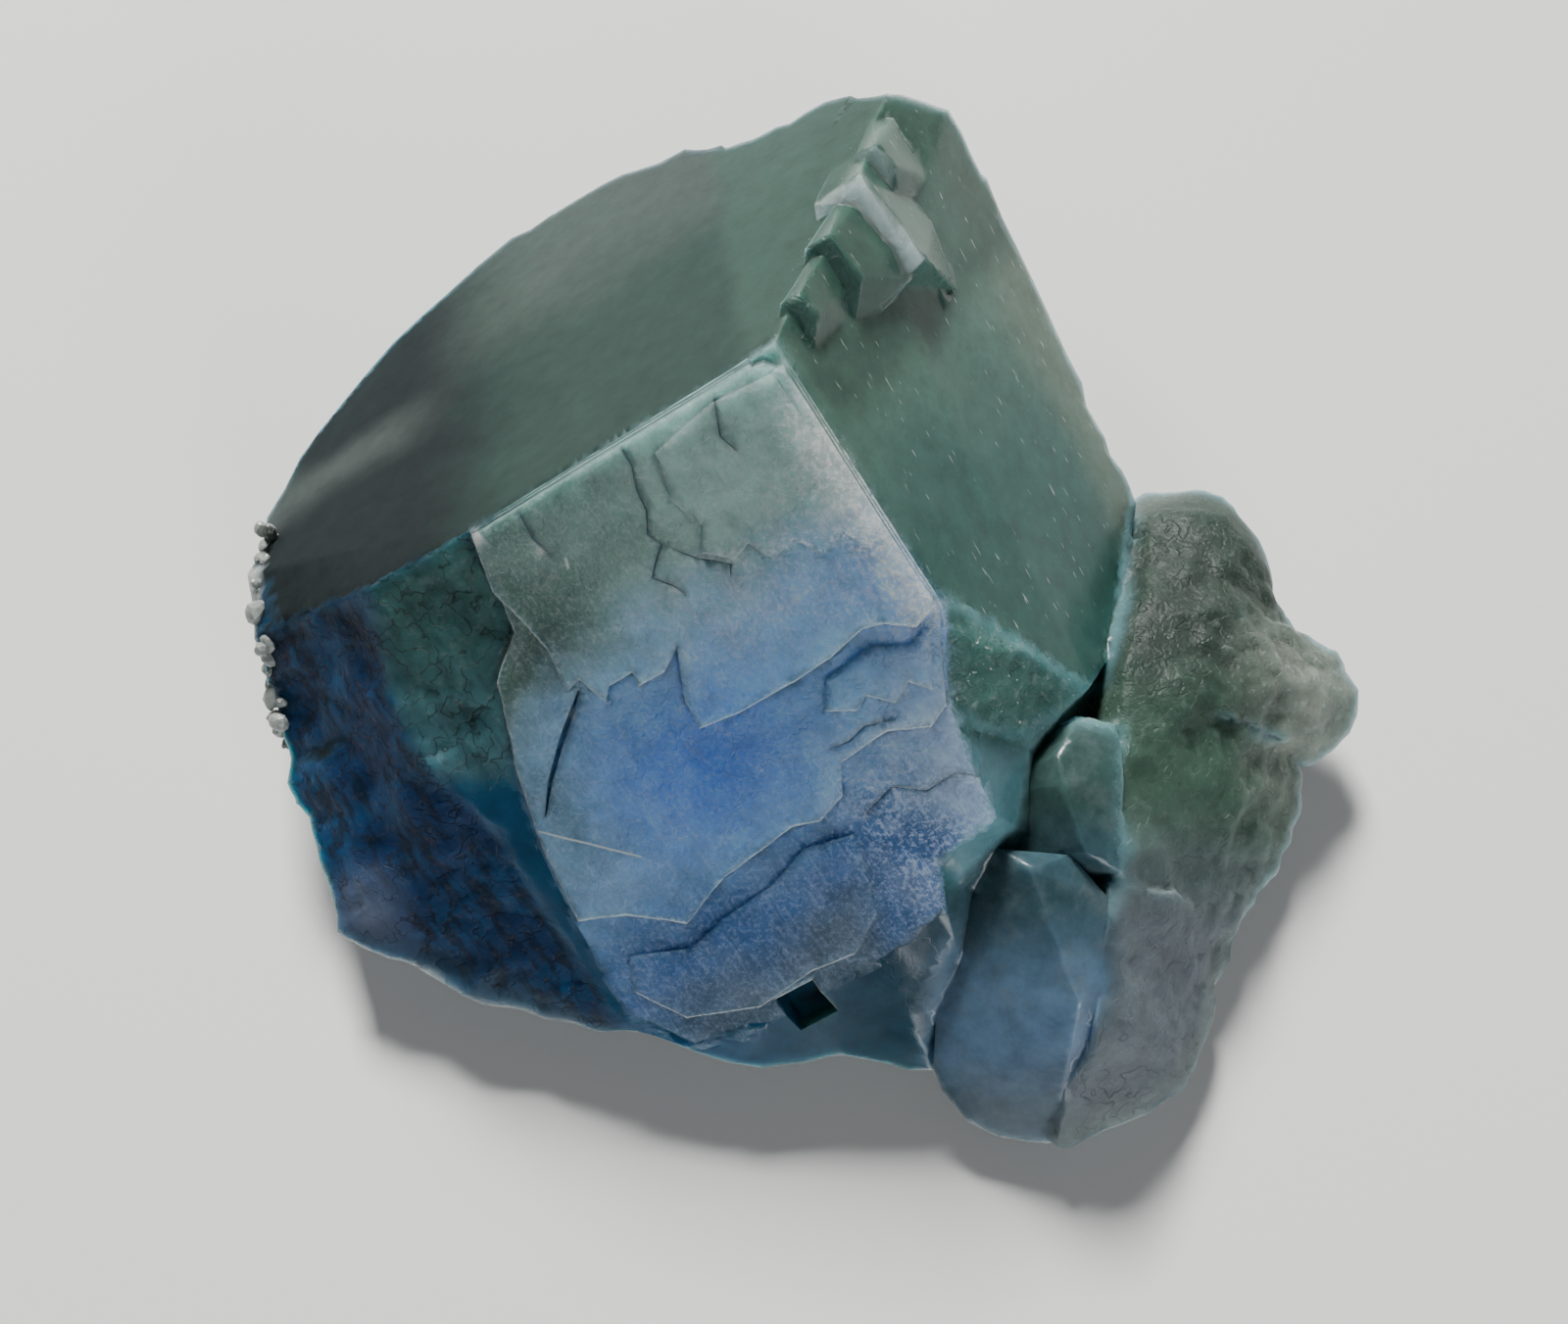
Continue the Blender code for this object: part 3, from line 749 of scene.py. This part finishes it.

# %% [markdown]
# ## Frost, painted sheen and glints, and scuffs
# The face is etched into pale grains and short fibres. Over them a painted sheen and painted glints stand for light
# caught by the frost, most of all along the right edge, where a painted highlight makes it nearly white. The walls
# carry short white dashes, and single scratches cross the face.

# %% Frost on the face and its treads
PALE = (0.62, 0.70, 0.68)
grain = span(speckle(0.16, 3.0, 0.75), 0.47, 0.64)
fibres = span(streaks(1.1, 0.12), 0.52, 0.70)
patches = span(speckle(1.5, 4.0, 0.65), 0.44, 0.62)
scale_rims = veins(1.1, 0.022)
edge_line = times(without(span(left, 0.4, 1.7)), span(right, 0.5, 4.0), without(span(right, 9.4, 10.6)))
right_band = times(without(span(left, 0.5, 3.8)), span(right, 1.5, 4.0), without(span(right, 9.5, 12.0)))
middle_band = times(hump(right, 6.3, 3.0), hump(left, 4.5, 5.5))
low_rim = times(span(right, 10.5, 14.5), without(span(left, 3.5, 8.0)))
# Pale etched frost, brightened in bands by painted sheen along the right edge, across the middle and at the low rim.
frost_and_sheen_zone = plus(times(right_band, 0.9), times(middle_band, 0.8), times(low_rim, 1.2), 0.34)
frost_and_sheen = times(frost_and_sheen_zone, plus(times(grain, 0.8), times(fibres, 0.45), times(patches, 0.30)))
rims = times(plus(0.2, patches), scale_rims, 0.10)
frost_and_sheen = plus(frost_and_sheen, times(rims, plus(0.5, span(right, 5.0, 12.0))))
# The right edge is lifted further here by the painted highlight.
frost_and_sheen = times(frost, plus(frost_and_sheen, times(edge_line, plus(0.5, grain))))
pale_face = blend(span(on_right, 4.0, 8.0), PALE, (0.55, 0.70, 0.96))
colour = blend(math_of("MINIMUM", frost_and_sheen, 0.95), colour, pale_face)
# A painted highlight: the right edge of the face is painted nearly white, as if catching the light.
painted_edge_highlight = times(frost, edge_line, plus(0.30, times(grain, 1.1)))
colour = blend(math_of("MINIMUM", painted_edge_highlight, 0.97), colour, (0.94, 0.98, 0.95))
# Painted shade: the step walls and treads near the corner are darkened, as in a recess.
step_shade = times(plus(wall, tread), without(span(left, 0.6, 1.6)), without(span(right, 2.6, 4.2)), span(drop, 0.6, 1.2))
colour = blend(times(step_shade, 0.75), colour, (0.035, 0.085, 0.065))
white_tread = plus(times(hump(up, -6.15, 0.7), 0.9), times(hump(up, -7.95, 0.5), 0.4))
colour = blend(times(tread, math_of("MINIMUM", white_tread, 0.9)), colour, PALE)
# Painted glints: bright specks where the frost and the shattered patch would catch the light.
painted_glint_zone = times(frost, without(span(left, 0.3, 2.4)), span(right, 4.5, 6.5), without(span(right, 10.5, 12.0)))
painted_glint_zone = plus(painted_glint_zone, times(shatter, 0.9), times(frost, middle_band, 0.4))
painted_glints = times(painted_glint_zone, span(speckle(0.22, 3.0), 0.66, 0.72))
colour = blend(math_of("MINIMUM", painted_glints, 0.95), colour, (0.85, 0.90, 0.88))
mottle = node("ShaderNodeVectorMath", operation="SCALE")
plug(colour, mottle.inputs[0])
dark_rims = times(plus(broken, terrace), scale_rims, 0.5)
plug(times(plus(0.50, speckle(0.9, 4.0, 0.7)), without(dark_rims)), mottle.inputs["Scale"])
colour = mottle.outputs[0]

# %% Dashes, scales and crust
dashes = times(wall, without(span(from_right_wall, 0.5, 1.5)), span(streaks(0.9, 0.10), 0.70, 0.75))
colour = blend(times(dashes, 0.7), colour, PALE)
scaly = plus(times(cluster, plus(0.25, knob)), times(shatter, 0.9), times(terrace, 0.25), times(broken, 0.10))
scales = times(scaly, span(speckle(0.35, 4.0, 0.65), 0.55, 0.68))
colour = blend(math_of("MINIMUM", times(scales, 0.5), 0.7), colour, (0.42, 0.50, 0.46))
colour = blend(times(crust, 0.85), colour, (0.55, 0.56, 0.52))


# %% Single marks on the face
def line_mark(start, end, half_mm):
    """A thin straight mark between two places on the face."""
    reach = Vector(end) - Vector(start)
    step = reach.normalized()
    from_left, from_right = plus(left, -start[0]), plus(right, -start[1])
    sideways = math_of("ABSOLUTE", plus(times(from_left, -step.y), times(from_right, step.x)))
    forward = plus(times(from_left, step.x), times(from_right, step.y))
    past_end = span(forward, reach.length - half_mm, reach.length + half_mm)
    between = times(span(forward, -half_mm, half_mm), without(past_end))
    return times(frost, between, without(span(sideways, half_mm * 0.4, half_mm)))


for start, end, half_mm, tint in (
    ((15.4, 9.6), (12.95, 12.1), 0.05, (0.75, 0.82, 0.84)),
    ((12.0, 6.7), (12.25, 6.85), 0.20, (0.85, 0.87, 0.85)),
    ((9.68, 1.6), (9.75, 1.7), 0.20, (0.75, 0.78, 0.74)),
    ((11.3, 0.05), (11.2, 0.45), 0.28, (0.80, 0.82, 0.78)),
    ((9.18, 2.25), (9.3, 2.6), 0.07, (0.70, 0.74, 0.70)),
):
    colour = blend(line_mark(start, end, half_mm), colour, tint)
plug(colour, shader.inputs["Base Color"])

# %% [markdown]
# ## Roughness and grain
# Etched faces scatter light and clean walls hardly do, so roughness follows the kinds of surface. A bump
# adds grain finer than the mesh can carry.

# %% Roughness and fine grain
left_side = times(wall, which_wall)
rough = plus(0.18, times(plus(frost, tread), 0.34), times(left_side, 0.40), times(plus(terrace, crust), 0.32))
rough = plus(rough, times(left_side, span(left, 7.0, 13.0), 0.20), times(broken, 0.32), times(cluster, 0.22))
rough = plus(rough, times(shatter, 0.10), times(speckle(0.8), 0.12))
plug(rough, shader.inputs["Roughness"])
fine = plus(speckle(0.16, 3.0), times(speckle(0.9, 3.0), 1.5), times(scale_rims, -0.6))
bump = node("ShaderNodeBump")
bump.inputs["Strength"].default_value = 0.7
bump.inputs["Distance"].default_value = 0.08 * MM
grainy = plus(0.05, times(frost, 1.3), tread, crust, times(cluster, 0.8), times(broken, 0.8), terrace, shatter)
plug(times(fine, grainy), bump.inputs["Height"])
plug(bump.outputs["Normal"], shader.inputs["Normal"])

# %% [markdown]
# ## See-through body
# The glassy part uses plain transmission, the refraction of fluorite, and absorption that takes out red
# with depth. Countless veils can't be modelled one by one, so scattering under the surface stands
# for them and gives the stone its cloudy glow.

# %% See-through body
FLUORITE_IOR = 1.434
shader.inputs["IOR"].default_value = FLUORITE_IOR
shader.inputs["Specular IOR Level"].default_value = 0.05
shader.inputs["Transmission Weight"].default_value = 0.45
shader.inputs["Metallic"].default_value = 0.0
shader.subsurface_method = "RANDOM_WALK"
shader.inputs["Subsurface Weight"].default_value = 1.0
shader.inputs["Subsurface Radius"].default_value = (0.95, 1.1, 1.15)
shader.inputs["Subsurface Scale"].default_value = 1.4 * MM
inside = node("ShaderNodeVolumeAbsorption")
inside.inputs["Color"].default_value = (0.35, 0.74, 0.80, 1.0)
inside.inputs["Density"].default_value = 50.0
plug(inside.outputs["Volume"], output.inputs["Volume"])
crystal.data.materials.clear()
crystal.data.materials.append(stone)
print("stone nodes", len(tree.nodes))

# %% [markdown]
# ## A crust of tiny grains
# On the left rim a thin crust of pale grains has grown over the blue flank. Each grain is a small
# rounded block, and together they make one piece that sits half sunk in the rim.

# %% Grains along the rim
CRUST_LINE = ((-19.10, 2.9, 4.9), (-19.05, 1.0, 5.5), (-18.80, -0.9, 5.5), (-18.55, -2.6, 4.7), (-18.25, -4.4, 4.0))
GRAIN_COUNT = 120
chance = np.random.default_rng(7)
grains = []
for _ in range(GRAIN_COUNT):
    reach = chance.uniform(0, 4)
    spot = np.array([np.interp(reach, range(5), [point[axis] for point in CRUST_LINE]) for axis in range(3)])
    spot = spot + chance.normal(0, 1, 3) * (0.14, 0.25, 0.42)
    radius = (0.12 + 0.26 * chance.uniform() ** 2) * MM
    bpy.ops.mesh.primitive_ico_sphere_add(
        subdivisions=2, radius=radius, location=spot * MM,
        rotation=chance.uniform(0, 3, 3), scale=chance.uniform(0.6, 1.5, 3))
    grains.append(bpy.context.object)
bpy.ops.object.select_all(action="DESELECT")
for grain_piece in grains:
    grain_piece.select_set(True)
bpy.context.view_layer.objects.active = grains[0]
bpy.ops.object.join()
crust_piece = bpy.context.object
crust_piece.name = "rim_crust"
bpy.ops.object.transform_apply(location=True, rotation=True, scale=True)
crust_noise = bpy.data.textures.new("grain_lumps", "CLOUDS")
crust_noise.noise_scale = 0.25 * MM
lumps = crust_piece.modifiers.new("grain_lumps", "DISPLACE")
lumps.texture = crust_noise
lumps.strength = 0.16 * MM
apply_modifier(crust_piece, lumps)
print("crust of", len(grains), "grains,", len(crust_piece.data.polygons), "faces")

# %% [markdown]
# ## Crust stone
# The grains are paler and drier than the cube. Fine noise gives each one its own grey-green tone and a
# slightly rough skin.

# %% Crust material
crust_stone = bpy.data.materials.new("crust_stone")
crust_stone.use_nodes = True
crust_tree = crust_stone.node_tree
crust_shader = crust_tree.nodes["Principled BSDF"]
crust_place = crust_tree.nodes.new("ShaderNodeTexCoord")
crust_specks = place_grain(crust_tree, crust_place.outputs["Object"], 0.35, 2.0, 0.5)
crust_tint = crust_tree.nodes.new("ShaderNodeMix")
crust_tint.data_type = "RGBA"
crust_tint.inputs[6].default_value = (0.14, 0.17, 0.16, 1.0)
crust_tint.inputs[7].default_value = (0.50, 0.53, 0.50, 1.0)
crust_tree.links.new(crust_specks, crust_tint.inputs["Factor"])
crust_tree.links.new(crust_tint.outputs[2], crust_shader.inputs["Base Color"])
crust_bump = crust_tree.nodes.new("ShaderNodeBump")
crust_bump.inputs["Strength"].default_value = 0.6
crust_bump.inputs["Distance"].default_value = 0.06 * MM
crust_tree.links.new(crust_specks, crust_bump.inputs["Height"])
crust_tree.links.new(crust_bump.outputs["Normal"], crust_shader.inputs["Normal"])
crust_shader.inputs["Roughness"].default_value = 0.35
crust_shader.inputs["IOR"].default_value = FLUORITE_IOR
crust_shader.inputs["Transmission Weight"].default_value = 0.35
crust_piece.data.materials.append(crust_stone)

# %% [markdown]
# ## Hand over
# The dressed crystal takes the place of the plain solid and moves with it.

# %% Finish
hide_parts("fluorite_crystal")
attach(crystal, "root")
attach(crust_piece, "root")
